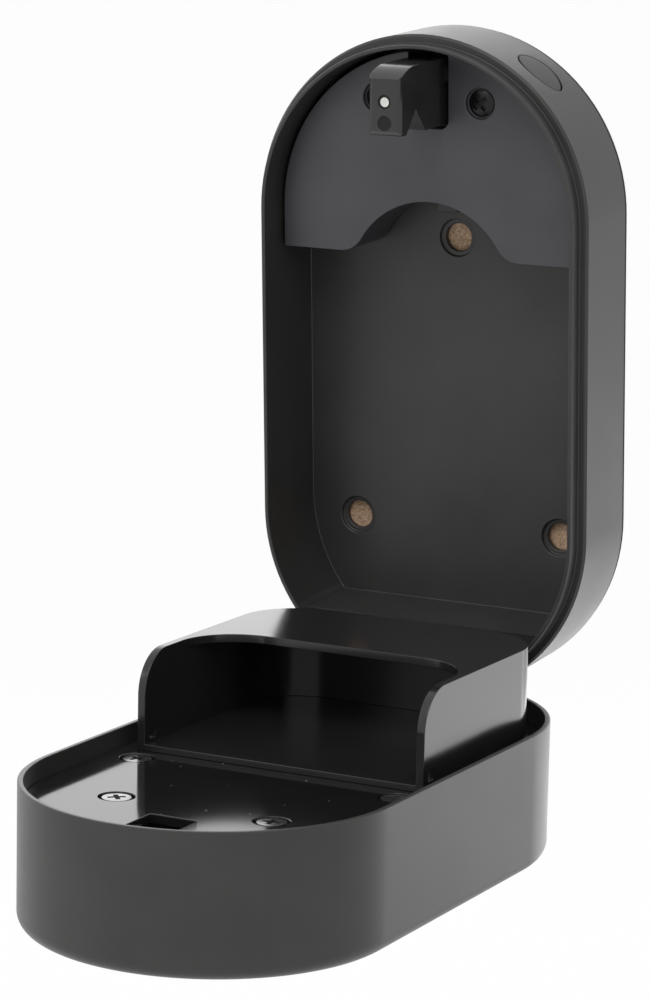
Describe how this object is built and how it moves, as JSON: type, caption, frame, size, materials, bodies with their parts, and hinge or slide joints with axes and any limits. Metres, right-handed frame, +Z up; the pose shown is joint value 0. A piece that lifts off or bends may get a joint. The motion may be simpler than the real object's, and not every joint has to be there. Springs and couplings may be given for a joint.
{
  "type": "smart key safe",
  "caption": "Pill-shaped wall key safe: a fold-down keypad door carries an open storage bin and a motor lock that latches on a tongue in the wall housing.",
  "frame": {"origin": "middle of the sealing pad's rear face, in the wall plane", "axes": "+Z up along the wall, +X to the right seen from the front, +Y into the wall; the door folds down towards -Y"},
  "size_m": [0.078, 0.1543, 0.1745],
  "materials": {
    "body_black": "fine matte powder coat",
    "plug_black": "matte",
    "cover_grey": "satin moulded",
    "bin_black": "satin-gloss moulded",
    "plate_black": "high gloss",
    "tray_black": "moulded",
    "cork_brown": "speckled cork rubber",
    "screw_black": "blackened",
    "steel": "machined",
    "board_green": "solder mask",
    "membrane_grey": "silicone",
    "key_grey": "moulded",
    "lens_clear": "clear light pipe"
  },
  "bodies": {
    "housing": {"wall_housing": "body_black", "wall_pad": "cork_brown", "mechanism_cover": "cover_grey", "cover_screws": "screw_black", "latch_tongue": "body_black", "tongue_screws": "steel", "sensing_magnet": "steel", "shackle_plugs": "plug_black", "hinge_pin": "steel"},
    "door": {"door_shell": "body_black", "inner_plate": "plate_black", "plate_screws": "screw_black", "storage_bin": "bin_black", "bin_screws": "screw_black", "lock_case": "cover_grey", "case_screws": "steel", "lock_motor": "steel", "battery_tray": "tray_black", "tray_screws": "steel", "batteries": "steel", "battery_contacts": "steel", "circuit_board": "board_green", "board_screws": "steel", "key_membrane": "membrane_grey", "keypad_panel": "plate_black", "status_lens": "lens_clear"},
    "screw": {"drive_screw": "steel"},
    "bolt": {"lock_bolt": "steel"},
    "key_1_button": {"key_1": "key_grey"},
    "key_2_button": {"key_2": "key_grey"},
    "key_3_button": {"key_3": "key_grey"},
    "key_4_button": {"key_4": "key_grey"},
    "key_5_button": {"key_5": "key_grey"},
    "key_6_button": {"key_6": "key_grey"},
    "key_7_button": {"key_7": "key_grey"},
    "key_8_button": {"key_8": "key_grey"},
    "key_9_button": {"key_9": "key_grey"},
    "key_clear_button": {"key_clear": "key_grey"},
    "key_0_button": {"key_0": "key_grey"},
    "key_enter_button": {"key_enter": "key_grey"}
  },
  "joints": [
    {"name": "door_hinge", "type": "hinge", "parent": "housing", "child": "door", "pos_m": [0, -0.0146, -0.0654], "axis": [-1, 0, 0], "range_deg": [0, 86.5]},
    {"name": "screw_turn", "type": "hinge", "parent": "door", "child": "screw", "pos_m": [0, -0.1139, -0.07706], "axis": [0, -0.9981, 0.061], "range_deg": [0, 360]},
    {"name": "bolt_slide", "type": "slide", "parent": "door", "child": "bolt", "axis": [0, -0.9981, 0.061], "range_m": [0, 0.005]},
    {"name": "key_1_press", "type": "slide", "parent": "door", "child": "key_1_button", "axis": [0, 0.061, 0.9981], "range_m": [0, 0.0008], "stiffness_N_per_m": 1200},
    {"name": "key_2_press", "type": "slide", "parent": "door", "child": "key_2_button", "axis": [0, 0.061, 0.9981], "range_m": [0, 0.0008], "stiffness_N_per_m": 1200},
    {"name": "key_3_press", "type": "slide", "parent": "door", "child": "key_3_button", "axis": [0, 0.061, 0.9981], "range_m": [0, 0.0008], "stiffness_N_per_m": 1200},
    {"name": "key_4_press", "type": "slide", "parent": "door", "child": "key_4_button", "axis": [0, 0.061, 0.9981], "range_m": [0, 0.0008], "stiffness_N_per_m": 1200},
    {"name": "key_5_press", "type": "slide", "parent": "door", "child": "key_5_button", "axis": [0, 0.061, 0.9981], "range_m": [0, 0.0008], "stiffness_N_per_m": 1200},
    {"name": "key_6_press", "type": "slide", "parent": "door", "child": "key_6_button", "axis": [0, 0.061, 0.9981], "range_m": [0, 0.0008], "stiffness_N_per_m": 1200},
    {"name": "key_7_press", "type": "slide", "parent": "door", "child": "key_7_button", "axis": [0, 0.061, 0.9981], "range_m": [0, 0.0008], "stiffness_N_per_m": 1200},
    {"name": "key_8_press", "type": "slide", "parent": "door", "child": "key_8_button", "axis": [0, 0.061, 0.9981], "range_m": [0, 0.0008], "stiffness_N_per_m": 1200},
    {"name": "key_9_press", "type": "slide", "parent": "door", "child": "key_9_button", "axis": [0, 0.061, 0.9981], "range_m": [0, 0.0008], "stiffness_N_per_m": 1200},
    {"name": "key_clear_press", "type": "slide", "parent": "door", "child": "key_clear_button", "axis": [0, 0.061, 0.9981], "range_m": [0, 0.0008], "stiffness_N_per_m": 1200},
    {"name": "key_0_press", "type": "slide", "parent": "door", "child": "key_0_button", "axis": [0, 0.061, 0.9981], "range_m": [0, 0.0008], "stiffness_N_per_m": 1200},
    {"name": "key_enter_press", "type": "slide", "parent": "door", "child": "key_enter_button", "axis": [0, 0.061, 0.9981], "range_m": [0, 0.0008], "stiffness_N_per_m": 1200}
  ],
  "couplings": [
    {"joint": "screw_turn", "follows": "bolt_slide", "rad_per_m": 1256.6}
  ]
}
